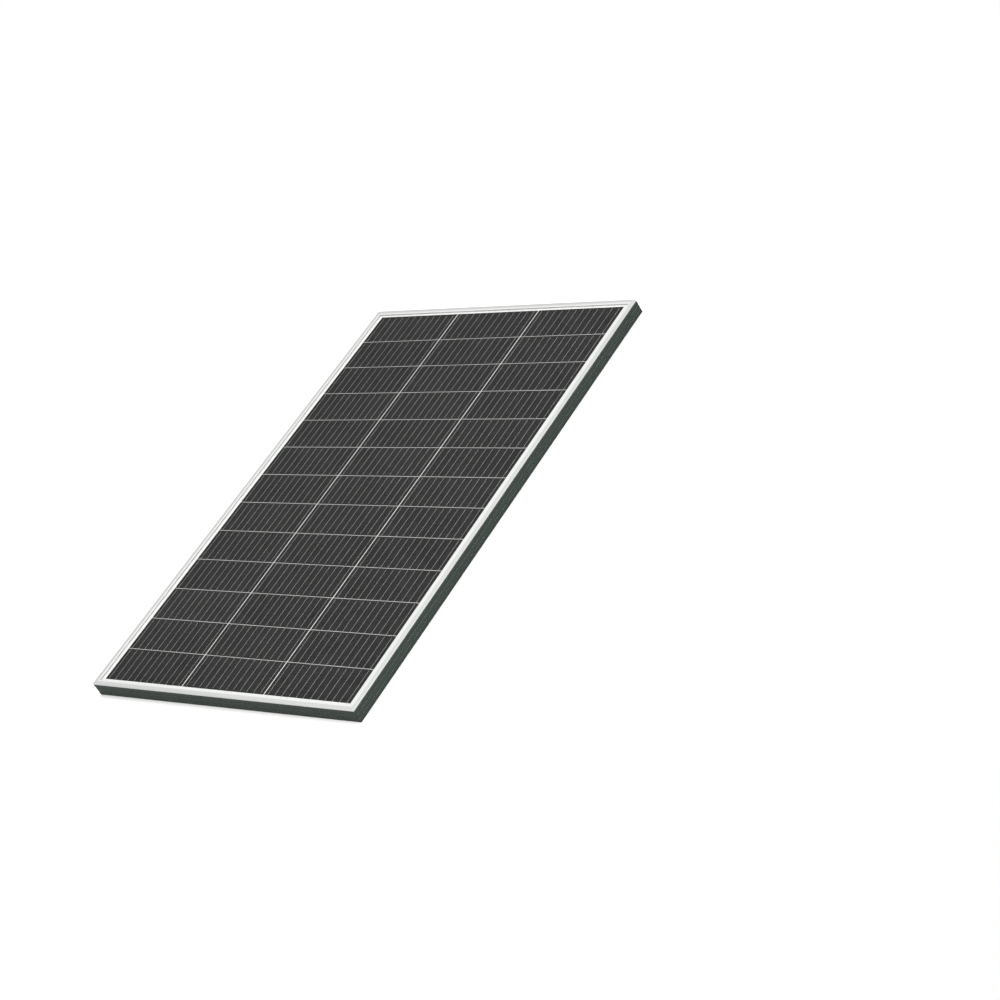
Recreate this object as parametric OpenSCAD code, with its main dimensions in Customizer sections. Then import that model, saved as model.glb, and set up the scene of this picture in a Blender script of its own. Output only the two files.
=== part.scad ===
// Rigid framed solar panel: a glass laminate of third-cut cells in a mitred aluminium frame, with a
// hinged-lid junction box on its back. The panel lies flat with its glass up. The origin is on the
// resting plane under the panel's centre, +X runs along the long side to the head end, +Z is up.

/* [Panel] */
// Overall length, along X
panel_l = 1040; // [1030:1:1050]
// Overall width, along Y
panel_w = 676; // [670:1:690]
// Overall thickness, from the flange's underside to the top of the lip
panel_h = 30; // [30:1:35]

/* [Frame section] */
// Width of the lip that covers the edge of the glass
lip_w = 12; // [11:0.5:14]
// Thickness of the lip
lip_t = 1.2; // [1.2:0.1:2]
// Depth of the edge band below the top, where the lip stands proud of the side wall
band_h = 2.2; // [1.8:0.1:4]
// How far the edge band stands proud of the side wall
band_proud = 0.8; // [0.3:0.1:1]
// Thickness of the outer and inner walls
wall_t = 1.5; // [1.2:0.1:1.8]
// Distance from the outer face to the inner face of the hollow chamber
chamber_w = 11; // [10:0.5:12]
// Width of the bottom flange on the long rails
long_flange_w = 30; // [28:1:34]
// Width of the bottom flange on the short rails
short_flange_w = 20; // [18:1:24]
// Thickness of the bottom flange
flange_t = 1.8; // [1.5:0.1:2.2]
// Gap left at each mitre
mitre_gap = 0.2; // [0.1:0.05:0.4]
// Depth of the decorative lines along the side wall
side_line_depth = 0.4; // [0.2:0.1:0.6]
// Width of the decorative lines along the side wall
side_line_w = 1.6; // [1:0.1:2]
// Length of each leg of a corner key
key_leg = 38; // [30:1:50]

/* [Mounting holes] */
// Distance between the slots along X
slot_spacing = 520; // [400:10:700]
// Distance of the slots' centres from the outer face
slot_inset = 20.5; // [19:0.5:22]
// Slot width
slot_w = 9; // [7:0.5:9]
// Slot length, end to end
slot_l = 14; // [12:0.5:16]
// Diameter of the earthing holes
earth_d = 4.2; // [4:0.1:5.2]
// Diameter of the drain holes in the short rails
drain_d = 6; // [4:0.5:7]

/* [Laminate] */
// Gap between the laminate's edge and the outer face
glass_inset = 3; // [2.8:0.1:4]
// Thickness of the edge sealant above and below the laminate
seal_t = 0.3; // [0.2:0.1:0.5]
// Thickness of the toughened glass
glass_t = 3.2; // [2.5:0.1:3.5]
// Thickness of each encapsulant sheet
film_t = 0.45; // [0.3:0.05:0.6]
// Thickness of the backsheet
backsheet_t = 0.3; // [0.2:0.05:0.4]

/* [Cells] */
// Cells in each string
cells_per_string = 13; // [13:1:13]
// Cell width, across the panel
cell_w = 210; // [205:1:210]
// Cell length, along the panel
cell_l = 76.4; // [70:0.2:77]
// Gap between neighbouring cells of one string
cell_gap = 1; // [0.8:0.1:2]
// Gap between neighbouring strings
string_gap = 2; // [1.5:0.1:2]
// Cell thickness
cell_t = 0.2; // [0.15:0.01:0.25]
// Busbar ribbons on each cell
ribbon_count = 12; // [9:1:12]
// Ribbon width
ribbon_w = 0.6; // [0.5:0.1:1]
// Ribbon thickness
ribbon_t = 0.15; // [0.1:0.01:0.2]
// Width of the collecting strips at the string ends
bus_w = 4; // [3:0.5:5]
// Distance from the outer face to the collecting strips' outer edge
bus_inset = 5.5; // [5.5:0.5:8]
// Thickness of the strips that run behind the cells, and of the insulation over them
lead_t = 0.2; // [0.15:0.01:0.25]

/* [Junction box] */
// Size along X
box_l = 86; // [84:1:90]
// Size along Y
box_w = 110; // [106:1:116]
// X of the box's centre
box_x = 425; // [415:1:428]
// Wall thickness
box_wall = 2.2; // [2:0.1:2.5]
// Corner radius
box_r = 5; // [4:0.5:6]
// Thickness of the adhesive pad that holds the box to the backsheet
pad_t = 0.8; // [0.5:0.1:1]
// Underside of the lid, above the resting plane
lid_z = 3; // [2.8:0.1:3.2]
// Lid plate thickness
lid_t = 1.8; // [1.6:0.1:2]
// Gasket thickness
gasket_t = 1.2; // [1:0.1:1.4]
// Hinge pin diameter
pin_d = 2.5; // [2:0.1:2.6]
// Hinge knuckle diameter
knuckle_d = 5.2; // [5:0.1:5.4]

/* [Cable glands] */
// Distance between the two glands along Y
gland_spacing = 56; // [54:1:60]
// Height of the glands' axis
gland_z = 12.4; // [12.3:0.1:12.6]
// Diameter of the lead that the seal grips
lead_hole_d = 6.2; // [5.5:0.1:6.4]
// Thread diameter of the gland body
thread_d = 12; // [11.5:0.1:12.2]
// Nut size across its flats
nut_af = 16; // [15.5:0.1:16]
// Thread pitch
thread_pitch = 1.5; // [1.5:0.5:1.5]

/* [Hidden] */
$fn = 64;
RUN = 0.08;                 // radial running clearance
FIT = 0.15;                 // clearance around pieces that slide into a pocket
EPS = 0.01;

lip_z = panel_h - lip_t;
side_u = band_proud;
slot_u = side_u + wall_t;

// Heights of the laminate's layers, from the glass down
glass_z = lip_z - seal_t - glass_t;
front_film_z = glass_z - film_t;
front_ribbon_z = front_film_z - ribbon_t;
cell_z = front_ribbon_z - cell_t;
rear_ribbon_z = cell_z - ribbon_t;
rear_film_t = film_t + 2 * lead_t;
rear_film_z = rear_ribbon_z - rear_film_t;
lead_z = rear_film_z;
insulation_z = lead_z + lead_t;
backsheet_z = rear_film_z - backsheet_t;
ledge_z = backsheet_z - seal_t;
ledge_t = 1.5;

laminate_l = panel_l - 2 * glass_inset;
laminate_w = panel_w - 2 * glass_inset;
cell_pitch_x = cell_l + cell_gap;
cell_pitch_y = cell_w + string_gap;
string_l = cells_per_string * cell_pitch_x - cell_gap;
ribbon_pitch = cell_w / ribbon_count;
bus_x = panel_l / 2 - bus_inset - bus_w;
insulation_margin = 2;

box_min_x = box_x - box_l / 2;
box_max_x = box_x + box_l / 2;
box_top_z = backsheet_z - pad_t;
box_ceiling_t = 2;
box_inner_z = box_top_z - box_ceiling_t;
gasket_z = lid_z + lid_t;
box_rim_z = gasket_z + gasket_t;
box_skirt_w = 4;
box_skirt_t = 1.5;

pin_x = box_max_x + 3.4;
pin_z = gasket_z - 0.2;
knuckle_span = 80;
lid_knuckle_l = 54;

terminal_t = 1.2;
terminal_w = 16;
terminal_spacing = 30;
terminal_z = box_inner_z - 2.6 - terminal_t;
terminal_max_x = box_max_x - 8;
tab_x = terminal_max_x - 6;
tab_slot_l = 8;
tab_slot_w = 2 * terminal_spacing + 20;
lead_run_y = cell_pitch_y / 2 + 6;
clamp_size = 12;
clamp_x = box_min_x + 26;

gland_flange_t = 4;
gland_stub_l = 9;
gland_seat_d = 9.2;
gland_seat_l = 8;
seal_head_t = 1.5;
nut_gap = 1;
nut_face_t = 1.8;
nut_mouth_d = lead_hole_d + 0.6;

silver = [0.87, 0.88, 0.88];
copper_tin = [0.72, 0.72, 0.72];
box_black = [0.09, 0.09, 0.1];

// ---------------------------------------------------------------- general shapes

// A rectangle with exact round corners, centred
module rounded_rect(l, w, r) {
    square([l - 2 * r, w], center = true);
    square([l, w - 2 * r], center = true);
    for (sx = [-1, 1], sy = [-1, 1])
        translate([sx * (l / 2 - r), sy * (w / 2 - r)])
            circle(r);
}

// A block from its lowest corner to its highest
module block(low, high) {
    translate(low)
        cube(high - low);
}

// A cylinder along X from x0 to x1
module rod_x(x0, x1, r) {
    translate([x0, 0, 0])
        rotate([0, 90, 0])
            cylinder(r = r, h = x1 - x0);
}

// A cylinder along Y, centred on its length
module rod_y(l, r) {
    rotate([90, 0, 0])
        cylinder(r = r, h = l, center = true);
}

// One side of a rectangular ring: a section drawn as (distance in from the outer face, height),
// run along the side of the given length and mitred at both ends. The outer face is at y = 0.
module mitred_side(l, depth, gap) {
    cut = gap / sqrt(2);
    intersection() {
        rotate([90, 0, 90])
            linear_extrude(height = l, center = true)
                children();
        linear_extrude(height = panel_h)
            polygon([
                [-l / 2 + cut, 0],
                [l / 2 - cut, 0],
                [l / 2 - cut - depth, depth],
                [-l / 2 + cut + depth, depth]
            ]);
    }
}

// Puts a side drawn by mitred_side on one edge of the panel: 0 right, 1 head, 2 left, 3 foot
module on_edge(edge) {
    reach = edge % 2 == 0 ? panel_w / 2 : panel_l / 2;
    rotate([0, 0, 90 * edge])
        translate([0, -reach, 0])
            children();
}

// ---------------------------------------------------------------- frame

// The frame extrusion's section, with its glass slot, hollow chamber and bottom flange
module rail_section(flange_w) {
    edge = 0.4;
    slope_w = 6;
    line_z = [panel_h * 0.3, panel_h * 0.6, panel_h - band_h - band_proud - side_line_w / 2];
    difference() {
        polygon([
            [side_u, 0],
            [side_u, panel_h - band_h - band_proud],
            [0, panel_h - band_h],
            [0, panel_h - 2.4 * edge],
            [edge, panel_h - edge],
            [slope_w, panel_h],
            [lip_w - edge, panel_h],
            [lip_w, panel_h - edge],
            [lip_w, lip_z],
            [slot_u, lip_z],
            [slot_u, ledge_z],
            [chamber_w, ledge_z],
            [chamber_w, flange_t],
            [flange_w, flange_t],
            [flange_w, 0]
        ]);
        translate([slot_u, flange_t])
            square([chamber_w - wall_t - slot_u, ledge_z - ledge_t - flange_t]);
        for (z = line_z)
            translate([side_u - side_line_depth, z - side_line_w / 2])
                square([2 * side_line_depth, side_line_w]);
    }
}

// An opening through the bottom flange, with round ends and its length along the rail
module flange_slot(l, w) {
    for (sx = [-1, 1])
        translate([sx * (l - w) / 2, slot_inset, -EPS])
            cylinder(d = w, h = flange_t + 2 * EPS);
    translate([-(l - w) / 2, slot_inset - w / 2, -EPS])
        cube([l - w, w, flange_t + 2 * EPS]);
}

// A round hole through the bottom flange, a distance in from the outer face
module flange_hole(inset, d) {
    translate([0, inset, -EPS])
        cylinder(d = d, h = flange_t + 2 * EPS);
}

module long_rail() {
    difference() {
        mitred_side(panel_l, long_flange_w, mitre_gap / 2)
            rail_section(long_flange_w);
        for (sx = [-1, 1])
            translate([sx * slot_spacing / 2, 0, 0])
                flange_slot(slot_l, slot_w);
        flange_hole(slot_inset, earth_d);
    }
}

module short_rail() {
    drain_inset = (chamber_w + short_flange_w) / 2;
    difference() {
        mitred_side(panel_w, short_flange_w, mitre_gap / 2)
            rail_section(short_flange_w);
        for (sx = [-1, 1])
            translate([sx * (panel_w / 2 - long_flange_w - 15), 0, 0])
                flange_hole(drain_inset, drain_d);
    }
}

module rail_right() {
    color(silver)
        on_edge(0)
            long_rail();
}

module rail_head() {
    color(silver)
        on_edge(1)
            short_rail();
}

module rail_left() {
    color(silver)
        on_edge(2)
            long_rail();
}

module rail_foot() {
    color(silver)
        on_edge(3)
            short_rail();
}

// One leg of a corner key, along X from the corner, with sawteeth on its inner side
module key_leg_outline(w) {
    tooth = 3;
    depth = 0.6;
    difference() {
        square([key_leg, w]);
        for (x = [w + 2 * tooth : tooth : key_leg - tooth])
            polygon([[x, w], [x + tooth * 0.9, w], [x + tooth * 0.9, w - depth]]);
    }
}

// The L-shaped keys that join the rails, one inside each corner's chambers
module corner_keys() {
    w = chamber_w - wall_t - slot_u - 2 * FIT;
    h = ledge_z - ledge_t - flange_t - 2 * FIT;
    inset = slot_u + FIT;
    color("gainsboro")
        for (mx = [0, 1], my = [0, 1])
            mirror([mx, 0, 0])
                mirror([0, my, 0])
                    translate([-panel_l / 2 + inset, -panel_w / 2 + inset, flange_t + FIT])
                        linear_extrude(height = h) {
                            key_leg_outline(w);
                            mirror([1, -1])
                                key_leg_outline(w);
                        }
}

// ---------------------------------------------------------------- laminate

// A sheet of the laminate, the full size of the glass
module sheet(z, t, r) {
    translate([0, 0, z])
        linear_extrude(height = t)
            rounded_rect(laminate_l, laminate_w, r);
}

// The opening behind the junction box that the lead tabs pass through
module tab_opening(z, h, extra) {
    translate([tab_x - tab_slot_l / 2 - extra, -tab_slot_w / 2 - extra, z])
        cube([tab_slot_l + 2 * extra, tab_slot_w + 2 * extra, h]);
}

module front_glass() {
    color([0.75, 0.85, 0.85, 0.35])
        sheet(glass_z, glass_t, 2);
}

module front_encapsulant() {
    color([0.95, 0.95, 0.95, 0.2])
        sheet(front_film_z, film_t, 2);
}

// White, with pockets moulded round the strips that run behind it
module rear_encapsulant() {
    end_x = bus_x + bus_w + FIT;
    pocket_t = 2 * lead_t + EPS;
    color("white")
        difference() {
            sheet(rear_film_z, rear_film_t, 2);
            translate([0, 0, rear_film_z - EPS])
                lead_runs(end_x, insulation_margin + FIT, pocket_t + EPS);
            lead_risers(FIT, rear_film_z, rear_ribbon_z + EPS);
        }
}

module backsheet() {
    color("whitesmoke")
        difference() {
            sheet(backsheet_z, backsheet_t, 2);
            tab_opening(backsheet_z - EPS, backsheet_t + 2 * EPS, 0);
        }
}

// The sealant that wraps the laminate's edge inside the frame's slot, with a bead along the back
module edge_seals() {
    reach = lip_w - 0.4;
    bead_w = 2;
    bead_h = 1.5;
    color("dimgray")
        for (edge = [0 : 3])
            on_edge(edge)
                mitred_side(edge % 2 == 0 ? panel_l : panel_w, chamber_w + bead_w, mitre_gap)
                    polygon([
                        [slot_u, ledge_z],
                        [chamber_w, ledge_z],
                        [chamber_w, ledge_z - bead_h],
                        [chamber_w + bead_w, backsheet_z],
                        [glass_inset, backsheet_z],
                        [glass_inset, lip_z - seal_t],
                        [reach, lip_z - seal_t],
                        [reach, lip_z],
                        [slot_u, lip_z]
                    ]);
}

// ---------------------------------------------------------------- cells and conductors

// Y of a string's centre: 0 left, 1 centre, 2 right
function string_y(s) = (1 - s) * cell_pitch_y;

// X of the foot-side edge of a cell, counted from the foot
function cell_x(i) = -string_l / 2 + i * cell_pitch_x;

// Y of a ribbon within its cell
function ribbon_y(i) = (i - (ribbon_count - 1) / 2) * ribbon_pitch;

module cell_string(s) {
    color([0.19, 0.2, 0.22])
        for (i = [0 : cells_per_string - 1])
            translate([cell_x(i), string_y(s) - cell_w / 2, cell_z])
                cube([cell_l, cell_w, cell_t]);
}

// The side view of a ribbon that runs on one cell's front, steps down in the gap and runs under
// the next cell. x = 0 is the first cell's edge, and the next cell starts at the gap's far side.
module ribbon_step_outline() {
    reach = cell_l - 3;
    step = cell_gap * 0.15;
    polygon([
        [-reach, front_ribbon_z],
        [step, front_ribbon_z],
        [cell_gap - step, rear_ribbon_z],
        [cell_gap + reach, rear_ribbon_z],
        [cell_gap + reach, rear_ribbon_z + ribbon_t],
        [cell_gap - step, rear_ribbon_z + ribbon_t],
        [step, front_ribbon_z + ribbon_t],
        [-reach, front_ribbon_z + ribbon_t]
    ]);
}

// A string's ribbons. Each joins the front of one cell to the back of the next one towards the
// head, and the last cell at each end is joined to its collecting strip.
module string_ribbons(s, towards_head) {
    end_l = (bus_x + bus_w - string_l / 2) + cell_l - 3;
    end_x = string_l / 2 - cell_l + 3;
    color(copper_tin)
        translate([0, string_y(s), 0])
            mirror([towards_head ? 0 : 1, 0, 0])
                for (k = [0 : ribbon_count - 1])
                    translate([0, ribbon_y(k), 0]) {
                        for (i = [0 : cells_per_string - 2])
                            translate([cell_x(i) + cell_l, 0, 0])
                                rotate([90, 0, 0])
                                    linear_extrude(height = ribbon_w, center = true)
                                        ribbon_step_outline();
                        translate([end_x, -ribbon_w / 2, front_ribbon_z])
                            cube([end_l, ribbon_w, ribbon_t]);
                        translate([-end_x - end_l, -ribbon_w / 2, rear_ribbon_z])
                            cube([end_l, ribbon_w, ribbon_t]);
                    }
}

// A collecting strip across the ends of the strings from one to another
module bus_strip(first, last, at_head) {
    y_high = string_y(first) + cell_w / 2;
    y_low = string_y(last) - cell_w / 2;
    mirror([at_head ? 0 : 1, 0, 0])
        block([bus_x, y_low, cell_z], [bus_x + bus_w, y_high, cell_z + cell_t]);
}

module bus_strips_head() {
    color(copper_tin) {
        bus_strip(0, 0, true);
        bus_strip(1, 2, true);
    }
}

module bus_strips_foot() {
    color(copper_tin) {
        bus_strip(0, 1, false);
        bus_strip(2, 2, false);
    }
}

// A flat strip behind the cells from one end of the panel to its tab, grown by a margin
module lead_run(from_x, run_y, tab_y, margin, t) {
    w = bus_w / 2 + margin;
    block([min(from_x, tab_x - w), run_y - w, 0], [max(from_x, tab_x + w), run_y + w, t]);
    block([tab_x - w, min(run_y, tab_y) - w, 0], [tab_x + w, max(run_y, tab_y) + w, t]);
}

// All three strips, from the given distance out along X
module lead_runs(end_x, margin, t) {
    lead_run(end_x, lead_run_y, terminal_spacing, margin, t);
    lead_run(end_x, 0, 0, margin, t);
    lead_run(-end_x, -lead_run_y, -terminal_spacing, margin, t);
}

// The risers that join the three strips to the collecting strips, grown by a margin
module lead_risers(margin, low_z, high_z) {
    w = bus_w / 2 + margin;
    middle_x = bus_x + bus_w / 2;
    for (place = [[middle_x, lead_run_y], [middle_x, 0], [-middle_x, -lead_run_y]])
        translate([place.x, place.y, 0])
            block([-w, -w, low_z], [w, w, high_z]);
}

// The strips that carry the strings' ends to the junction box behind the cells
module lead_strips() {
    color(copper_tin) {
        translate([0, 0, lead_z])
            lead_runs(bus_x + bus_w, 0, lead_t);
        lead_risers(0, lead_z, cell_z);
    }
}

// The insulating film between those strips and the backs of the cells
module lead_insulation() {
    color("ivory")
        translate([0, 0, insulation_z])
            lead_runs(string_l / 2 + 1, insulation_margin, lead_t);
}

// The tabs that pass through the backsheet, down to the terminals
module lead_tabs() {
    color(copper_tin)
        for (y = [-terminal_spacing, 0, terminal_spacing])
            block(
                [tab_x - lead_t / 2, y - bus_w / 2, terminal_z + terminal_t],
                [tab_x + lead_t / 2, y + bus_w / 2, lead_z]
            );
}

// A blank rating plate on the back
module rating_label() {
    label_t = 0.15;
    color("white")
        translate([box_x - 260, -150, backsheet_z - label_t])
            linear_extrude(height = label_t)
                rounded_rect(60, 90, 3);
}

// ---------------------------------------------------------------- junction box

module box_outline(grow) {
    rounded_rect(box_l + 2 * grow, box_w + 2 * grow, max(box_r + grow, 1));
}

module at_box(z) {
    translate([box_x, 0, z])
        children();
}

module jbox_pad() {
    color("dimgray")
        difference() {
            at_box(box_top_z)
                linear_extrude(height = pad_t)
                    box_outline(box_skirt_w - 1);
            tab_opening(box_top_z - EPS, pad_t + 2 * EPS, 1);
        }
}

// A hinge knuckle on the pin's axis, with a web back to the box
module knuckle(l, web_low, web_high) {
    translate([pin_x, 0, pin_z])
        rod_y(l, knuckle_d / 2);
    block([box_max_x - EPS, -l / 2, web_low], [pin_x, l / 2, web_high]);
}

module pin_hole(l, clearance) {
    translate([pin_x, 0, pin_z])
        rod_y(l + 2, pin_d / 2 + clearance);
}

// A rib that a terminal stands on
module terminal_post(x, y) {
    rib_t = 1.6;
    rib_l = terminal_w - 4;
    translate([x, y - rib_l / 2, terminal_z + terminal_t])
        cube([rib_t, rib_l, box_inner_z - terminal_z - terminal_t + EPS]);
}

// The tray that is bonded to the backsheet. It opens downwards.
module jbox_base() {
    ear_l = (knuckle_span - lid_knuckle_l) / 2 - 0.4;
    ridge = [0.5, 14, 1.2];
    color(box_black)
        difference() {
            union() {
                at_box(box_rim_z)
                    linear_extrude(height = box_top_z - box_rim_z)
                        difference() {
                            box_outline(0);
                            box_outline(-box_wall);
                        }
                at_box(box_inner_z)
                    linear_extrude(height = box_ceiling_t)
                        box_outline(0);
                at_box(box_top_z - box_skirt_t)
                    linear_extrude(height = box_skirt_t)
                        box_outline(box_skirt_w);
                for (y = [-terminal_spacing, 0, terminal_spacing], x = [tab_x - 20, tab_x - 10])
                    terminal_post(x, y);
                for (y = [-terminal_spacing, terminal_spacing])
                    terminal_post(clamp_x, y);
                // Catch ridge for the lid's tongue
                translate([box_min_x - ridge.x, -ridge.y / 2, box_rim_z + 2.4])
                    cube([ridge.x + EPS, ridge.y, ridge.z]);
                for (sy = [-1, 1])
                    translate([0, sy * (knuckle_span - ear_l) / 2, 0])
                        knuckle(ear_l, box_rim_z, pin_z + knuckle_d / 2 + 1);
            }
            tab_opening(box_inner_z - EPS, box_ceiling_t + 2 * EPS, 0);
            pin_hole(knuckle_span, 0);
            for (sy = [-1, 1])
                translate([0, sy * gland_spacing / 2, gland_z])
                    rod_x(box_min_x - 1, box_min_x + box_wall + 1, thread_d / 2 + RUN);
        }
}

// The lid, with its hinge knuckle, snap tongue and stiffening ribs
module jbox_lid() {
    tongue_w = 16;
    tongue_t = 1.3;
    tongue_gap = 0.9;
    tongue_x = box_min_x - tongue_gap - tongue_t;
    tongue_top = box_rim_z + 5.4;
    hook_z = box_rim_z + 3.8;
    rib_h = 1.4;
    rib_inset = box_wall + 2;
    color([0.12, 0.12, 0.13])
        difference() {
            union() {
                at_box(lid_z)
                    linear_extrude(height = lid_t)
                        box_outline(0);
                at_box(gasket_z - EPS)
                    linear_extrude(height = rib_h)
                        difference() {
                            box_outline(-rib_inset);
                            box_outline(-rib_inset - 1.4);
                        }
                // Snap tongue: its root, its arm and its hook
                translate([tongue_x, -tongue_w / 2, lid_z])
                    cube([box_min_x + 1 - tongue_x, tongue_w, lid_t]);
                translate([tongue_x, -tongue_w / 2, lid_z])
                    cube([tongue_t, tongue_w, tongue_top - lid_z]);
                translate([tongue_x, -tongue_w / 2, hook_z])
                    cube([tongue_t + 0.3, tongue_w, 1]);
                knuckle(lid_knuckle_l, lid_z, gasket_z);
            }
            pin_hole(knuckle_span, RUN);
            // Shallow recessed panel on the outside
            at_box(lid_z - EPS)
                linear_extrude(height = 0.4)
                    box_outline(-9);
        }
}

module jbox_gasket() {
    color("dimgray")
        at_box(gasket_z)
            linear_extrude(height = gasket_t)
                difference() {
                    box_outline(-0.2);
                    box_outline(-box_wall);
                }
}

module jbox_hinge_pin() {
    color("silver")
        translate([pin_x, 0, pin_z])
            rod_y(knuckle_span, pin_d / 2);
}

// A terminal plate: the outer two reach back to the cable clamps
module terminal(y, min_x) {
    color("goldenrod")
        translate([min_x, y - terminal_w / 2, terminal_z])
            cube([terminal_max_x - min_x, terminal_w, terminal_t]);
}

module terminal_positive() {
    terminal(terminal_spacing, clamp_x - clamp_size / 2);
}

module terminal_middle() {
    terminal(0, tab_x - 26);
}

module terminal_negative() {
    terminal(-terminal_spacing, clamp_x - clamp_size / 2);
}

// Bypass diodes, each bridging two neighbouring terminals with its bent leads
module bypass_diodes() {
    body_d = 8.4;
    body_l = 9;
    lead_r = 0.65;
    bend_y = terminal_spacing / 2 - 6;
    drop = body_d / 2 + 0.8;
    z = terminal_z - drop;
    color([0.15, 0.15, 0.16])
        for (sy = [-1, 1])
            translate([tab_x - 14, sy * terminal_spacing / 2, z]) {
                rod_y(body_l, body_d / 2);
                rod_y(2 * bend_y, lead_r);
                for (side = [-1, 1])
                    translate([0, side * bend_y, 0]) {
                        sphere(r = lead_r);
                        cylinder(r = lead_r, h = drop);
                    }
            }
}

module at_clamps() {
    for (sy = [-1, 1])
        translate([clamp_x, sy * gland_spacing / 2, 0])
            children();
}

// Screw clamps for the output leads, in line with the glands
module cable_clamps() {
    low_z = gland_z - 5;
    color("gold")
        difference() {
            at_clamps()
                translate([-clamp_size / 2, -clamp_size / 2, low_z])
                    cube([clamp_size, clamp_size, terminal_z - low_z]);
            at_clamps() {
                translate([0, 0, gland_z])
                    rod_x(-clamp_size, clamp_size, 2.4);
                translate([0, 0, low_z - 1])
                    cylinder(r = 2 + RUN, h = gland_z - low_z + 1);
            }
        }
}

module clamp_screws() {
    low_z = gland_z - 6;
    length = 4;
    color("silver")
        difference() {
            at_clamps()
                translate([0, 0, low_z])
                    cylinder(r = 2, h = length);
            at_clamps()
                block([-3, -0.4, low_z - 1], [3, 0.4, low_z + 1]);
        }
}

// ---------------------------------------------------------------- cable glands

module at_gland(side) {
    translate([0, side * gland_spacing / 2, gland_z])
        children();
}

// A hexagonal rod along X, with two of its flats level
module hex_rod_x(x0, x1, flats) {
    translate([x0, 0, 0])
        rotate([0, 90, 0])
            rotate([0, 0, 30])
                cylinder(d = flats / cos(30), h = x1 - x0, $fn = 6);
}

// Rings that stand for the thread, cut round X from x0 to x1
module thread_rings(x0, x1) {
    depth = 0.45;
    for (x = [x0 : thread_pitch : x1])
        translate([x, 0, 0])
            rotate([0, 90, 0])
                rotate_extrude()
                    polygon([
                        [thread_d / 2 - depth, 0],
                        [thread_d / 2 + depth, -depth],
                        [thread_d / 2 + depth, depth]
                    ]);
}

module gland_body(side) {
    stub_x = box_min_x - gland_flange_t - gland_stub_l;
    tail_x = box_min_x + box_wall + 3;
    color(box_black)
        at_gland(side)
            difference() {
                union() {
                    hex_rod_x(box_min_x - gland_flange_t, box_min_x, nut_af);
                    rod_x(stub_x, tail_x, thread_d / 2);
                }
                rod_x(stub_x - 1, tail_x + 1, lead_hole_d / 2 + 0.4);
                rod_x(stub_x - 1, stub_x + gland_seat_l + 0.5, gland_seat_d / 2);
                thread_rings(stub_x + thread_pitch / 2, stub_x + gland_stub_l - thread_pitch / 2);
            }
}

module gland_seal(side) {
    stub_x = box_min_x - gland_flange_t - gland_stub_l;
    head_d = thread_d - 0.6;
    color("dimgray")
        at_gland(side)
            difference() {
                union() {
                    rod_x(stub_x, stub_x + gland_seat_l, gland_seat_d / 2 - RUN);
                    rod_x(stub_x - seal_head_t, stub_x, head_d / 2);
                }
                rod_x(stub_x - seal_head_t - 1, stub_x + gland_seat_l + 1, lead_hole_d / 2);
            }
}

module gland_nut(side) {
    inner_x = box_min_x - gland_flange_t - nut_gap;
    face_x = box_min_x - gland_flange_t - gland_stub_l - seal_head_t;
    outer_x = face_x - nut_face_t;
    color(box_black)
        at_gland(side)
            difference() {
                intersection() {
                    hex_rod_x(outer_x, inner_x, nut_af);
                    // Turned chamfer on the outer end
                    translate([outer_x, 0, 0])
                        rotate([0, 90, 0])
                            cylinder(r1 = nut_af / 2 - 1, r2 = nut_af, h = inner_x - outer_x + nut_af / 2);
                }
                rod_x(face_x, inner_x + 1, thread_d / 2 + RUN);
                rod_x(outer_x - 1, face_x + 1, nut_mouth_d / 2);
            }
}

module gland_body_positive() {
    gland_body(1);
}

module gland_seal_positive() {
    gland_seal(1);
}

module gland_nut_positive() {
    gland_nut(1);
}

module gland_body_negative() {
    gland_body(-1);
}

module gland_seal_negative() {
    gland_seal(-1);
}

module gland_nut_negative() {
    gland_nut(-1);
}

// ---------------------------------------------------------------- strings

module cell_string_left() {
    cell_string(0);
}

module cell_string_centre() {
    cell_string(1);
}

module cell_string_right() {
    cell_string(2);
}

module ribbons_left() {
    string_ribbons(0, false);
}

module ribbons_centre() {
    string_ribbons(1, true);
}

module ribbons_right() {
    string_ribbons(2, false);
}

front_glass();
front_encapsulant();
rear_encapsulant();
backsheet();
cell_string_left();
cell_string_centre();
cell_string_right();
ribbons_left();
ribbons_centre();
ribbons_right();
bus_strips_head();
bus_strips_foot();
lead_strips();
lead_insulation();
lead_tabs();
edge_seals();
rail_left();
rail_right();
rail_head();
rail_foot();
corner_keys();
rating_label();
jbox_pad();
jbox_base();
jbox_lid();
jbox_gasket();
jbox_hinge_pin();
terminal_positive();
terminal_middle();
terminal_negative();
bypass_diodes();
cable_clamps();
clamp_screws();
gland_body_positive();
gland_seal_positive();
gland_nut_positive();
gland_body_negative();
gland_seal_negative();
gland_nut_negative();
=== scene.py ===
"""Looks of the rigid framed solar panel: materials, softened edges, camera and studio, all placed
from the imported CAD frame."""

import bpy
import math
from mathutils import Matrix, Vector


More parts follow.
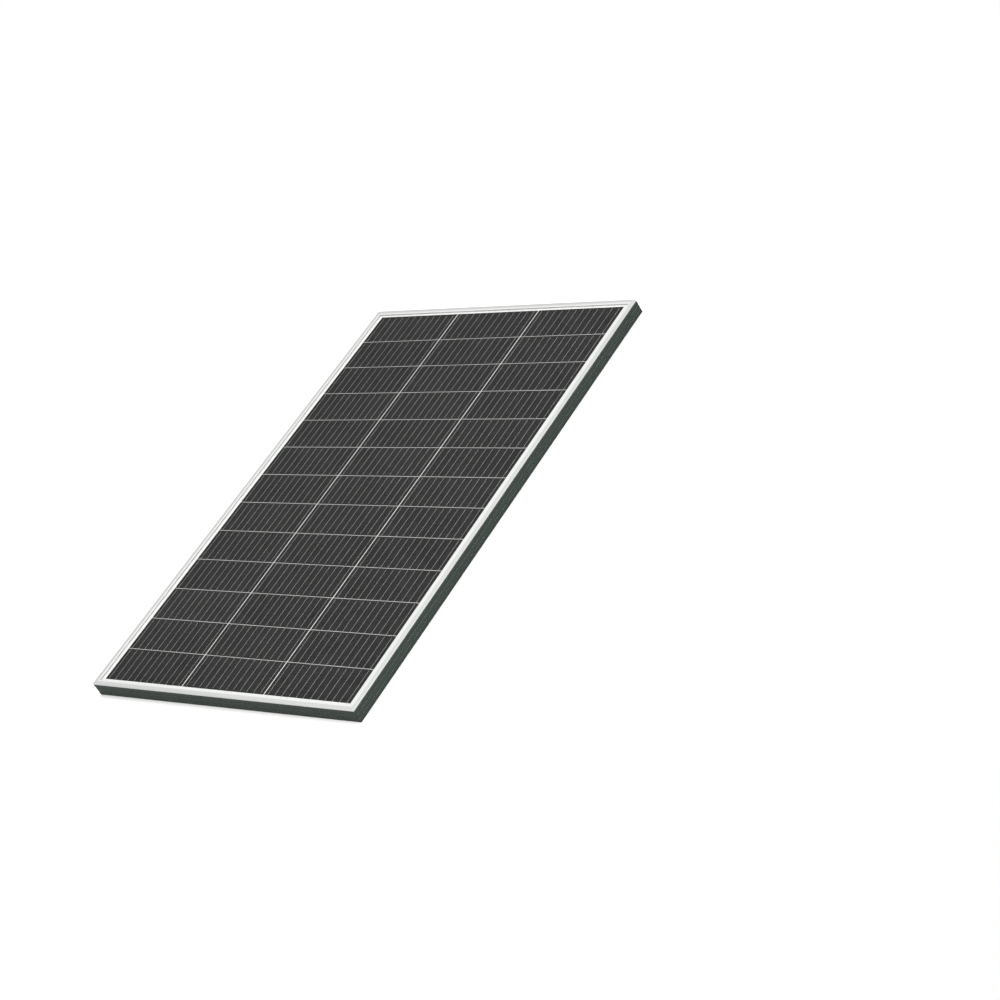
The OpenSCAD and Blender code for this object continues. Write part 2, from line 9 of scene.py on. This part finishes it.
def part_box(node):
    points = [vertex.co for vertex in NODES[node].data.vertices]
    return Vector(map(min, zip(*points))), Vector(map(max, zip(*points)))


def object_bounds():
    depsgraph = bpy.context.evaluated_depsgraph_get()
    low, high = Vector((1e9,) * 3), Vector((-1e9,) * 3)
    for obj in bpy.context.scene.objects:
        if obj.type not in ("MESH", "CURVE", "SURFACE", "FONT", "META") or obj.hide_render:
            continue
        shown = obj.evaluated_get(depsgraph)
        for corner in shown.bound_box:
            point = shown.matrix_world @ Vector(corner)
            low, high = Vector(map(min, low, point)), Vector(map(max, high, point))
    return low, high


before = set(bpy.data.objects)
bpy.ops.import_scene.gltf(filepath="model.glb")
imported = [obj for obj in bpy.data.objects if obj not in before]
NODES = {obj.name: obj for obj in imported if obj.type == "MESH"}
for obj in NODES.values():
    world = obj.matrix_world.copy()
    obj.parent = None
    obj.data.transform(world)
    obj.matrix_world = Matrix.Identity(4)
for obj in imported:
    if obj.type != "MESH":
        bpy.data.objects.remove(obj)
cad_low, cad_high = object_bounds()

# ------------------------------------------------------------------ sizes, in metres, from the frame

string_low, string_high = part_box("cell_string_centre")

PANEL_L = cad_high.x - cad_low.x
PANEL_W = cad_high.y - cad_low.y
PANEL_H = cad_high.z - cad_low.z
CELLS_IN_STRING = 13
CELL_GAP = 0.001
STRING_GAP = 0.002
CELL_PITCH = (string_high.x - string_low.x + CELL_GAP) / CELLS_IN_STRING
CELL_W = string_high.y - string_low.y
STRING_PITCH = CELL_W + STRING_GAP
RIBBONS_ON_CELL = 12
RIBBON_PITCH = CELL_W / RIBBONS_ON_CELL
FINGER_PITCH = 0.0014
# Share of the finger pitch that is printed, to either side of a finger's middle
FINGER_SHARE = 0.045

# ------------------------------------------------------------------ node graph helper


class Graph:
    """A material's node tree, with short calls to add nodes and join them."""

    def __init__(self, name):
        self.material = bpy.data.materials.new(name)
        self.material.use_nodes = True
        self.tree = self.material.node_tree
        self.shader = self.tree.nodes["Principled BSDF"]
        self.output = self.tree.nodes["Material Output"]
        self.position = self.add("TexCoord").outputs["Object"]

    def add(self, kind, inputs=None, **settings):
        """Adds a shader node of that kind. inputs maps socket names or numbers to values or to
        output sockets."""
        node = self.tree.nodes.new("ShaderNode" + kind)
        for key, value in settings.items():
            setattr(node, key, value)
        for key, value in (inputs or {}).items():
            self.set(node.inputs[key], value)
        return node

    def set(self, socket, value):
        if isinstance(value, bpy.types.NodeSocket):
            self.tree.links.new(value, socket)
        else:
            socket.default_value = value

    def surface(self, **inputs):
        """Sets Principled inputs, such as base_color or roughness."""
        for key, value in inputs.items():
            self.set(self.shader.inputs[key.replace("_", " ").title().replace("Ior", "IOR")], value)

    def math(self, operation, a, b=0.0, clamp=False):
        node = self.add("Math", {0: a, 1: b}, operation=operation, use_clamp=clamp)
        return node.outputs[0]

    def axis(self, vector=None):
        """The three parts of a vector, by default the position."""
        return self.add("SeparateXYZ", {0: vector or self.position}).outputs

    def stretched(self, scale):
        return self.add("Mapping", {"Vector": self.position, "Scale": scale}).outputs[0]

    def noise(self, scale, detail=4.0, vector=None, roughness=0.55):
        inputs = {"Scale": scale, "Detail": detail, "Roughness": roughness}
        inputs["Vector"] = vector or self.position
        return self.add("TexNoise", inputs).outputs["Fac"]

    def between(self, value, low, high, to_low=0.0, to_high=1.0):
        """Maps low to high onto to_low to to_high, and stops at both ends."""
        inputs = {"Value": value, "From Min": low, "From Max": high, "To Min": to_low, "To Max": to_high}
        return self.add("MapRange", inputs, clamp=True).outputs[0]

    def mix(self, share, a, b):
        """A mix of two colours."""
        node = self.add("Mix", data_type="RGBA")
        self.set(node.inputs[0], share)
        self.set(node.inputs[6], a if isinstance(a, bpy.types.NodeSocket) else (*a, 1.0))
        self.set(node.inputs[7], b if isinstance(b, bpy.types.NodeSocket) else (*b, 1.0))
        return node.outputs[2]

    def bump(self, height, distance, strength=1.0, normal=None):
        node = self.add("Bump", {"Height": height, "Distance": distance, "Strength": strength})
        if normal is not None:
            self.set(node.inputs["Normal"], normal)
        return node.outputs[0]

    def edges(self, radius):
        """1 along the piece's sharp edges, fading to 0 at the given distance from them."""
        rounded = self.add("Bevel", {"Radius": radius}, samples=6).outputs[0]
        true_normal = self.add("NewGeometry").outputs["True Normal"]
        both = {0: rounded, 1: true_normal}
        facing = self.add("VectorMath", both, operation="DOT_PRODUCT").outputs["Value"]
        return self.between(facing, 0.995, 0.75)


def grey(level):
    return (level, level, level)


# ------------------------------------------------------------------ frame and laminate materials

# Colours of the lip's slope, of its flat crest (a painted highlight), of its inner edge (painted light over
# the shade that falls there), of the walls, and of bare metal
LIP_SILVER = (0.52, 0.525, 0.52)
LIP_HIGHLIGHT_AND_WEAR = (0.71, 0.715, 0.71)
LIP_EDGE_PAINTED_LIGHT = (0.86, 0.865, 0.86)
WALL_GREEN = (0.038, 0.050, 0.043)
WALL_GREEN_DARK = (0.030, 0.040, 0.034)
BARE_SILVER = (0.56, 0.57, 0.57)
# Painted shade: near black laid on the floors of the walls' grooves
GROOVE_PAINTED_SHADE = (0.008, 0.010, 0.009)
# Distances in from the panel's outline: how far in the walls and their lines reach, past what a line's
# floor lies, where the lip's slope turns into its flat crest, and past what its inner edge lies
WALL_REACH = 0.0014
LINE_FLOOR = 0.001
SLOPE_END = 0.0075
CREST_START = 0.009
LIP_INNER_EDGE = 0.0116
# Depth of the proud band below the panel's top
BAND_H = 0.0022
# Above this share of an upward normal, a surface counts as level
LEVEL = 0.9


def anodised(name, along):
    """Frame aluminium, drawn along one axis: silver on the lip and inside, dark grey-green on the outer
    walls, with painted highlights on the lip's crest and inner edge and painted shade in the walls' grooves."""
    g = Graph(name)
    drawn_scale = (2, 700, 700) if along == "x" else (700, 2, 700)
    drawn = g.noise(1.0, detail=3.0, vector=g.stretched(drawn_scale))
    cloudy = g.noise(9.0, detail=5.0)
    grain = g.noise(2600.0, detail=2.0)
    x, y, z = g.axis()
    normal_z = g.axis(g.add("TexCoord").outputs["Normal"])[2]
    # The outer walls lie within WALL_REACH of the panel's outline and don't face up
    off_x = g.math("SUBTRACT", PANEL_L / 2, g.math("ABSOLUTE", x))
    off_y = g.math("SUBTRACT", PANEL_W / 2, g.math("ABSOLUTE", y))
    inset = g.math("MINIMUM", off_x, off_y)
    outermost = g.math("LESS_THAN", inset, WALL_REACH)
    upright = g.math("LESS_THAN", g.math("ABSOLUTE", normal_z), LEVEL)
    below_band = g.math("LESS_THAN", z, PANEL_H - BAND_H)
    wall = g.math("MULTIPLY", g.math("MULTIPLY", outermost, upright), below_band)
    lip = g.math("GREATER_THAN", z, PANEL_H - BAND_H - 0.0001)
    # Painted highlight: the lip's flat crest is painted lighter than its slope, for the light it catches;
    # drawn streaks add to it
    crest_highlight = g.between(inset, SLOPE_END, CREST_START)
    lip_share = g.math("ADD", g.math("MULTIPLY", crest_highlight, 0.75), g.between(drawn, 0.35, 0.65, 0.0, 0.25))
    lip_tone = g.mix(lip_share, LIP_SILVER, LIP_HIGHLIGHT_AND_WEAR)
    # Painted light: the lip's inner edge is painted bright over the shade that falls on it
    lip_tone = g.mix(g.math("GREATER_THAN", inset, LIP_INNER_EDGE), lip_tone, LIP_EDGE_PAINTED_LIGHT)
    inner_tone = g.mix(g.between(cloudy, 0.3, 0.7), BARE_SILVER, LIP_SILVER)
    wall_tone = g.mix(g.between(drawn, 0.3, 0.7), WALL_GREEN_DARK, WALL_GREEN)
    # Painted shade: the floors of the walls' grooves are darkened towards near black
    groove_shade = g.math("MULTIPLY", g.math("GREATER_THAN", inset, LINE_FLOOR), 0.55)
    wall_tone = g.mix(groove_shade, wall_tone, GROOVE_PAINTED_SHADE)
    colour = g.mix(wall, g.mix(lip, inner_tone, lip_tone), wall_tone)
    worn = g.math("MULTIPLY", g.edges(0.0004), g.between(g.noise(60.0), 0.45, 0.65, 0.0, 0.3))
    worn = g.math("MULTIPLY", worn, g.math("SUBTRACT", 1.0, g.math("MULTIPLY", wall, 0.85)))
    colour = g.mix(worn, colour, LIP_HIGHLIGHT_AND_WEAR)
    rough = g.math("ADD", g.between(drawn, 0.3, 0.7, 0.36, 0.46), g.between(grain, 0.3, 0.7, -0.03, 0.03))
    g.surface(
        base_color=colour,
        metallic=g.math("SUBTRACT", 0.25, g.math("MULTIPLY", wall, 0.2)),
        specular_ior_level=g.math("SUBTRACT", 0.5, g.math("MULTIPLY", wall, 0.46)),
        roughness=rough,
        normal=g.bump(drawn, 0.00002, normal=g.bump(grain, 0.000005)),
    )
    return g.material


def mill_finish(name):
    """Cut aluminium of the hidden corner keys."""
    g = Graph(name)
    marks = g.noise(1.0, vector=g.stretched((300, 300, 20)))
    g.surface(
        base_color=g.mix(marks, grey(0.45), grey(0.62)),
        metallic=0.9,
        roughness=g.between(marks, 0.3, 0.7, 0.3, 0.5),
        normal=g.bump(marks, 0.00002),
    )
    return g.material


GLASS_CLEAR = (0.985, 0.99, 0.988, 1)


def solar_glass(name):
    """Low-iron glass with an anti-reflective satin face: clear, with a soft sheen at grazing
    angles."""
    g = Graph(name)
    prism = g.noise(1800.0, detail=2.0)
    dust = g.between(g.noise(14.0, detail=6.0), 0.5, 0.8)
    outside = g.math("SUBTRACT", 1.0, g.add("NewGeometry").outputs["Backfacing"])
    sheen = g.math("MULTIPLY", g.add("Fresnel", {"IOR": 1.24}).outputs[0], outside)
    clear = g.add("BsdfTransparent", {"Color": GLASS_CLEAR}).outputs[0]
    bent = g.add("BsdfRefraction", {"Color": GLASS_CLEAR, "Roughness": 0.0, "IOR": 1.5}).outputs[0]
    # Lamps reach the cells straight through the glass. The view of them is bent, as in a real pane.
    seen = g.add("LightPath").outputs["Is Camera Ray"]
    through = g.add("MixShader", {0: seen, 1: clear, 2: bent}).outputs[0]
    gloss = g.add(
        "BsdfGlossy",
        {
            "Color": (0.96, 0.96, 0.96, 1),
            "Roughness": g.between(dust, 0.0, 1.0, 0.16, 0.24),
            "Normal": g.bump(prism, 0.00002, 0.5),
        },
    ).outputs[0]
    share = g.math("ADD", g.math("MULTIPLY", sheen, 0.6), g.math("MULTIPLY", dust, 0.006))
    mixed = g.add("MixShader", {0: share, 1: through, 2: gloss}).outputs[0]
    g.set(g.output.inputs["Surface"], mixed)
    return g.material


def clear_film(name):
    """Cured encapsulant: almost invisible behind the glass."""
    g = Graph(name)
    haze = g.between(g.noise(30.0, detail=5.0), 0.3, 0.8, 0.0, 0.004)
    clear = g.add("BsdfTransparent", {"Color": (0.99, 0.99, 0.985, 1)}).outputs[0]
    milky = g.add("BsdfDiffuse", {"Color": (0.8, 0.8, 0.78, 1)}).outputs[0]
    mixed = g.add("MixShader", {0: haze, 1: clear, 2: milky}).outputs[0]
    g.set(g.output.inputs["Surface"], mixed)
    return g.material


def silicon(name):
    """Charcoal wafer with fine grid fingers across the busbars and a tone of its own on each cell."""
    g = Graph(name)
    x, y = g.axis()[:2]
    row = g.math("FLOOR", g.math("DIVIDE", g.math("SUBTRACT", x, string_low.x), CELL_PITCH))
    column = g.math("FLOOR", g.math("ADD", g.math("DIVIDE", y, STRING_PITCH), 0.5))
    spot = g.add("CombineXYZ", {0: row, 1: column}).outputs[0]
    own_tone = g.add("TexWhiteNoise", {"Vector": spot}, noise_dimensions="3D").outputs["Value"]
    finger_phase = g.math("PINGPONG", x, FINGER_PITCH / 2)
    finger = g.math("LESS_THAN", finger_phase, FINGER_PITCH * FINGER_SHARE)
    grain = g.noise(420.0, detail=3.0)
    cloud = g.noise(5.0, detail=3.0)
    own_share = g.between(own_tone, 0.0, 1.0, 0.2, 0.8)
    dark = g.mix(own_share, (0.0088, 0.0086, 0.0088), (0.0133, 0.0131, 0.0133))
    dark = g.mix(g.between(cloud, 0.35, 0.7, 0.0, 0.35), dark, (0.0163, 0.0160, 0.0163))
    dark = g.mix(g.between(grain, 0.45, 0.7, 0.0, 0.25), dark, (0.0193, 0.0190, 0.0193))
    g.surface(
        base_color=g.mix(finger, dark, grey(0.075)),
        metallic=0.0,
        specular_ior_level=0.1,
        roughness=g.between(grain, 0.3, 0.7, 0.42, 0.56),
        normal=g.bump(grain, 0.00001, 0.4),
    )
    return g.material


def tinned_copper(name):
    """Soldered tinned strip: pale, slightly uneven metal."""
    g = Graph(name)
    solder = g.noise(1.0, detail=4.0, vector=g.stretched((160, 500, 500)))
    pool = g.noise(70.0, detail=2.0)
    tone = g.mix(g.between(solder, 0.3, 0.7), grey(0.44), (0.60, 0.60, 0.59))
    g.surface(
        base_color=g.mix(g.between(pool, 0.5, 0.8, 0.0, 0.4), tone, grey(0.66)),
        metallic=0.55,
        roughness=g.between(solder, 0.3, 0.7, 0.3, 0.5),
        normal=g.bump(solder, 0.00002),
    )
    return g.material


def white_film(name):
    """White encapsulant behind the cells: smooth and bright, very slightly uneven."""
    g = Graph(name)
    waves = g.noise(40.0, detail=4.0)
    fine = g.noise(500.0, detail=3.0)
    g.surface(
        base_color=g.mix(g.between(waves, 0.3, 0.7), (0.71, 0.715, 0.71), (0.76, 0.765, 0.76)),
        specular_ior_level=0.1,
        roughness=g.between(fine, 0.3, 0.7, 0.45, 0.6),
        normal=g.bump(fine, 0.00002, 0.5),
    )
    return g.material


# Half the width of a ribbon's ridge, and of the dip between two rows of cells, in the backsheet
RIDGE_HALF_W = 0.0014
SEAM_HALF_W = 0.0018


def white_backsheet(name):
    """White laminated film: faint embossing, and soft ridges where the ribbons lie behind it."""
    g = Graph(name)
    x, y = g.axis()[:2]
    emboss = g.noise(900.0, detail=3.0)
    waves = g.noise(11.0, detail=3.0)
    string = g.math("ROUND", g.math("DIVIDE", y, STRING_PITCH))
    in_string = g.math("SUBTRACT", y, g.math("MULTIPLY", string, STRING_PITCH))
    off_ribbon = g.math("PINGPONG", g.math("SUBTRACT", in_string, RIBBON_PITCH / 2), RIBBON_PITCH / 2)
    ridge = g.between(off_ribbon, 0.0, RIDGE_HALF_W, 1.0, 0.0)
    off_seam = g.math("PINGPONG", g.math("ADD", x, CELL_PITCH / 2), CELL_PITCH / 2)
    seam = g.between(off_seam, 0.0, SEAM_HALF_W, 1.0, 0.0)
    relief = g.math("SUBTRACT", g.math("MULTIPLY", ridge, 0.5), seam)
    tone = g.mix(g.between(waves, 0.3, 0.7), (0.82, 0.825, 0.82), (0.85, 0.855, 0.85))
    g.surface(
        base_color=g.mix(g.between(emboss, 0.55, 0.8, 0.0, 0.3), tone, (0.76, 0.765, 0.765)),
        roughness=g.between(emboss, 0.3, 0.7, 0.42, 0.55),
        normal=g.bump(relief, 0.00012, normal=g.bump(emboss, 0.00002)),
    )
    return g.material


def pale_film(name, low, high):
    """Plain polyester film with a faint mottle."""
    g = Graph(name)
    mottle = g.noise(160.0, detail=4.0)
    g.surface(
        base_color=g.mix(mottle, low, high),
        roughness=g.between(mottle, 0.3, 0.7, 0.38, 0.5),
        normal=g.bump(mottle, 0.00001),
    )
    return g.material


def silicone(name):
    """Squeezed silicone: off-white, soft sheen, uneven surface."""
    g = Graph(name)
    lumps = g.noise(90.0, detail=3.0)
    fine = g.noise(700.0, detail=3.0)
    g.surface(
        base_color=g.mix(g.between(lumps, 0.3, 0.7), grey(0.66), (0.76, 0.765, 0.755)),
        roughness=g.between(fine, 0.3, 0.7, 0.35, 0.5),
        subsurface_weight=0.06,
        normal=g.bump(lumps, 0.0003, normal=g.bump(fine, 0.00003)),
    )
    return g.material


# ------------------------------------------------------------------ junction box materials


def moulded(name, low, high, grain_size=0.0006):
    """Spark-eroded moulded plastic with rubbed edges."""
    g = Graph(name)
    pebble = g.noise(1.0 / grain_size, detail=3.0)
    flow = g.noise(24.0, detail=4.0)
    rub = g.math("MULTIPLY", g.edges(0.0006), g.between(g.noise(180.0), 0.4, 0.65))
    rubbed_tone = tuple(min(1.0, 3.2 * level) for level in high)
    tone = g.mix(g.between(flow, 0.3, 0.7), low, high)
    dull = g.between(pebble, 0.3, 0.7, 0.5, 0.68)
    g.surface(
        base_color=g.mix(g.math("MULTIPLY", rub, 0.5), tone, rubbed_tone),
        roughness=g.math("SUBTRACT", dull, g.math("MULTIPLY", rub, 0.15)),
        normal=g.bump(pebble, 0.00004, 0.7),
    )
    return g.material


def rubber(name, low, high):
    """Dull moulded rubber with a chalky bloom."""
    g = Graph(name)
    bloom = g.noise(130.0, detail=5.0)
    fine = g.noise(1900.0, detail=2.0)
    g.surface(
        base_color=g.mix(g.between(bloom, 0.35, 0.75), low, high),
        roughness=g.between(fine, 0.3, 0.7, 0.7, 0.85),
        normal=g.bump(fine, 0.00002),
    )
    return g.material


def plated(name, low, high):
    """Plated or plain metal with fine turning marks and smudges."""
    g = Graph(name)
    smudge = g.noise(150.0, detail=4.0)
    marks = g.noise(1.0, detail=2.0, vector=g.stretched((2500, 200, 2500)))
    smudged = g.between(smudge, 0.3, 0.7, 0.22, 0.36)
    g.surface(
        base_color=g.mix(g.between(smudge, 0.3, 0.75), low, high),
        metallic=1.0,
        roughness=g.math("ADD", smudged, g.between(marks, 0.3, 0.7, 0.0, 0.06)),
        normal=g.bump(marks, 0.00001),
    )
    return g.material


# Each diode's middle, to either side of the box's middle. From there outwards: its band's middle and
# half the band's width, and the end of its body.
DIODE_Y = 0.015
DIODE_BAND_Y = 0.0025
DIODE_BAND_HALF_W = 0.0006
DIODE_BODY_END = 0.0046


def epoxy(name):
    """Diodes: glossy black mouldings with a pale cathode band, and bright tinned leads."""
    g = Graph(name)
    along = g.math("SUBTRACT", g.math("ABSOLUTE", g.axis()[1]), DIODE_Y)
    off_band = g.math("ABSOLUTE", g.math("SUBTRACT", along, DIODE_BAND_Y))
    band = g.math("LESS_THAN", off_band, DIODE_BAND_HALF_W)
    lead = g.math("GREATER_THAN", g.math("ABSOLUTE", along), DIODE_BODY_END)
    speck = g.noise(900.0, detail=3.0)
    body = g.mix(band, g.mix(speck, grey(0.02), grey(0.035)), grey(0.5))
    g.surface(
        base_color=g.mix(lead, body, g.mix(speck, grey(0.55), grey(0.68))),
        metallic=g.math("MULTIPLY", lead, 0.8),
        roughness=g.between(speck, 0.3, 0.7, 0.22, 0.34),
        normal=g.bump(speck, 0.00001),
    )
    return g.material


# ------------------------------------------------------------------ materials on the CAD nodes

LONG_FRAME = anodised("frame_long", "x")
SHORT_FRAME = anodised("frame_short", "y")
TINNED = tinned_copper("tinned_strip")
CELL = silicon("silicon_cell")
FILM = clear_film("encapsulant_film")
BRASS = plated("terminal_brass", (0.58, 0.45, 0.21), (0.64, 0.51, 0.26))
STEEL = plated("zinc_steel", grey(0.52), (0.66, 0.66, 0.65))
BLACK_BOX = moulded("box_plastic", grey(0.020), grey(0.028))
BLACK_LID = moulded("lid_plastic", grey(0.024), grey(0.033), grain_size=0.0008)
BLACK_NYLON = moulded("gland_nylon", grey(0.018), grey(0.026), grain_size=0.0004)
GLAND_RUBBER = rubber("gland_rubber", grey(0.05), grey(0.08))

FINISHES = {
    "front_glass": solar_glass("solar_glass"),
    "front_encapsulant": FILM,
    "rear_encapsulant": white_film("white_encapsulant"),
    "backsheet": white_backsheet("white_backsheet"),
    "cell_string_left": CELL,
    "cell_string_centre": CELL,
    "cell_string_right": CELL,
    "ribbons_left": TINNED,
    "ribbons_centre": TINNED,
    "ribbons_right": TINNED,
    "bus_strips_head": TINNED,
    "bus_strips_foot": TINNED,
    "lead_strips": TINNED,
    "lead_tabs": TINNED,
    "lead_insulation": pale_film("insulating_film", (0.72, 0.70, 0.62), (0.80, 0.78, 0.70)),
    "edge_seals": silicone("edge_silicone"),
    "jbox_pad": silicone("pad_silicone"),
    "rail_left": LONG_FRAME,
    "rail_right": LONG_FRAME,
    "rail_head": SHORT_FRAME,
    "rail_foot": SHORT_FRAME,
    "corner_keys": mill_finish("key_aluminium"),
    "rating_label": pale_film("blank_label", (0.60, 0.61, 0.62), (0.66, 0.67, 0.68)),
    "jbox_base": BLACK_BOX,
    "jbox_lid": BLACK_LID,
    "jbox_gasket": rubber("gasket_foam", grey(0.03), grey(0.05)),
    "jbox_hinge_pin": STEEL,
    "terminal_positive": BRASS,
    "terminal_middle": BRASS,
    "terminal_negative": BRASS,
    "bypass_diodes": epoxy("diode_epoxy"),
    "cable_clamps": BRASS,
    "clamp_screws": STEEL,
    "gland_body_positive": BLACK_NYLON,
    "gland_body_negative": BLACK_NYLON,
    "gland_nut_positive": BLACK_NYLON,
    "gland_nut_negative": BLACK_NYLON,
    "gland_seal_positive": GLAND_RUBBER,
    "gland_seal_negative": GLAND_RUBBER,
}

for node, material in FINISHES.items():
    NODES[node].data.materials.clear()
    NODES[node].data.materials.append(material)

# ------------------------------------------------------------------ softened edges

# Bevel width of each group of nodes, in metres
SOFT_EDGES = {
    0.00025: ("rail_left", "rail_right", "rail_head", "rail_foot", "front_glass"),
    0.0004: ("jbox_base", "jbox_lid", "gland_body_positive", "gland_body_negative"),
    0.0003: ("gland_nut_positive", "gland_nut_negative", "cable_clamps", "jbox_gasket"),
    0.00015: ("terminal_positive", "terminal_middle", "terminal_negative", "jbox_hinge_pin", "clamp_screws"),
}


SAME_POINT = 0.000001
SAME_FLAT_ANGLE = math.radians(0.5)
SHARP_ANGLE = math.radians(35)


def soften(node, width):
    """Rounds a node's sharp edges a little. Its corners are joined and its flats made whole first, so
    that the rounding shades evenly."""
    modifiers = NODES[node].modifiers
    weld = modifiers.new("weld", "WELD")
    weld.merge_threshold = SAME_POINT
    flat = modifiers.new("whole_flats", "DECIMATE")
    flat.decimate_type = "DISSOLVE"
    flat.angle_limit = SAME_FLAT_ANGLE
    bevel = modifiers.new("soft_edges", "BEVEL")
    bevel.width = width
    bevel.segments = 2
    bevel.limit_method = "ANGLE"
    bevel.angle_limit = SHARP_ANGLE
    bevel.use_clamp_overlap = True
    bevel.harden_normals = True


for width, nodes in SOFT_EDGES.items():
    for node in nodes:
        soften(node, width)

# ------------------------------------------------------------------ camera: the photograph's viewing angle

FACE_CENTRE = Vector((0, 0, cad_high.z))
CAMERA_OFFSET = Vector((-2.3079, -3.2063, 2.3092))
CAMERA_FORWARD = Vector((0.528, 0.661, -0.533))
CAMERA_UP = Vector((0.700, 0.017, 0.714))
LENS_MM = 88.4
SENSOR_MM = 36.0


def photo_camera():
    camera = bpy.data.objects.new("camera", bpy.data.cameras.new("camera"))
    bpy.context.scene.collection.objects.link(camera)
    camera.data.lens = LENS_MM
    camera.data.sensor_width = SENSOR_MM
    camera.data.clip_start = 0.1
    camera.data.clip_end = 100.0
    back = -CAMERA_FORWARD.normalized()
    right = CAMERA_UP.cross(back).normalized()
    up = back.cross(right)
    turn = Matrix((right, up, back)).transposed().to_4x4()
    camera.matrix_world = Matrix.Translation(FACE_CENTRE + CAMERA_OFFSET) @ turn
    bpy.context.scene.camera = camera


# ------------------------------------------------------------------ studio


def soft_light(name, place, size, power, colour=(1, 1, 1), mirrored=True):
    """An area lamp in watts, aimed at the origin, that the camera doesn't see. mirrored says whether
    it shows in reflections."""
    light = bpy.data.objects.new(name, bpy.data.lights.new(name, "AREA"))
    bpy.context.scene.collection.objects.link(light)
    light.data.shape = "RECTANGLE"
    light.data.size, light.data.size_y = size
    light.data.energy = power
    light.data.color = colour
    light.location = place
    light.visible_camera = False
    light.visible_glossy = mirrored
    light.rotation_mode = "QUATERNION"
    light.rotation_quaternion = (-Vector(place)).to_track_quat("-Z", "Y")


# The sky's strength against the upward part of a direction: lowest up to 0.35, full straight up
SKY_RAMP = {"From Min": 0.35, "From Max": 1.0, "To Min": 0.22, "To Max": 1.0}


def studio_world():
    """White to the camera. What lights and reflects is a soft sky, brightest overhead."""
    world = bpy.data.worlds.new("studio")
    bpy.context.scene.world = world
    world.use_nodes = True
    nodes = world.node_tree.nodes
    nodes.clear()
    output = nodes.new("ShaderNodeOutputWorld")
    seen = nodes.new("ShaderNodeBackground")
    seen.inputs["Color"].default_value = (1, 1, 1, 1)
    seen.inputs["Strength"].default_value = 1.0
    sky = nodes.new("ShaderNodeBackground")
    ramp = nodes.new("ShaderNodeMapRange")
    for socket, level in SKY_RAMP.items():
        ramp.inputs[socket].default_value = level
    direction = nodes.new("ShaderNodeTexCoord")
    parts = nodes.new("ShaderNodeSeparateXYZ")
    path = nodes.new("ShaderNodeLightPath")
    choose = nodes.new("ShaderNodeMixShader")
    join = world.node_tree.links.new
    join(direction.outputs["Generated"], parts.inputs[0])
    join(parts.outputs["Z"], ramp.inputs["Value"])
    join(ramp.outputs[0], sky.inputs["Strength"])
    join(path.outputs["Is Camera Ray"], choose.inputs[0])
    join(sky.outputs[0], choose.inputs[1])
    join(seen.outputs[0], choose.inputs[2])
    join(choose.outputs[0], output.inputs["Surface"])


FLOOR_HALF = 4.0
FLOOR_BELOW = 0.0002
FLOOR_FADE_START = 0.75
FLOOR_FADE_END = 1.6
# Width of the floor that reaches in under the panel's outline
FLOOR_UNDER_WALL = 0.003


def pale_floor():
    """A pale floor that fades out round the panel. It can't be seen from below and is open under the
    panel, so that the panel's back can be seen and lit."""
    corners = [(x * FLOOR_HALF, y * FLOOR_HALF, 0) for x, y in ((-1, -1), (1, -1), (1, 1), (-1, 1))]
    mesh = bpy.data.meshes.new("floor")
    mesh.from_pydata(corners, [], [(0, 1, 2, 3)])
    floor = bpy.data.objects.new("floor", mesh)
    bpy.context.scene.collection.objects.link(floor)
    floor.location.z = cad_low.z - FLOOR_BELOW
    g = Graph("pale_floor")
    matte = g.add("BsdfDiffuse", {"Color": (*grey(0.93), 1)}).outputs[0]
    unseen = g.add("BsdfTransparent").outputs[0]
    below = g.add("NewGeometry").outputs["Backfacing"]
    away = g.add("VectorMath", {0: g.position}, operation="LENGTH").outputs["Value"]
    faded = g.math("MAXIMUM", below, g.between(away, FLOOR_FADE_START, FLOOR_FADE_END))
    x, y = g.axis()[:2]
    under_x = g.math("LESS_THAN", g.math("ABSOLUTE", x), PANEL_L / 2 - FLOOR_UNDER_WALL)
    under_y = g.math("LESS_THAN", g.math("ABSOLUTE", y), PANEL_W / 2 - FLOOR_UNDER_WALL)
    gone = g.math("MAXIMUM", faded, g.math("MULTIPLY", under_x, under_y))
    g.set(g.output.inputs["Surface"], g.add("MixShader", {0: gone, 1: matte, 2: unseen}).outputs[0])
    mesh.materials.append(g.material)


photo_camera()
studio_world()
pale_floor()
soft_light("overhead", (0.2, -0.2, 3.2), (3.0, 3.0), 122, mirrored=False)
soft_light("key", (-1.2, -3.3, 1.6), (1.6, 1.2), 82, colour=(1.0, 0.99, 0.97))
soft_light("from_below", (0.4, -0.7, -3.0), (2.4, 2.4), 80)
bpy.context.scene.view_settings.view_transform = "Standard"
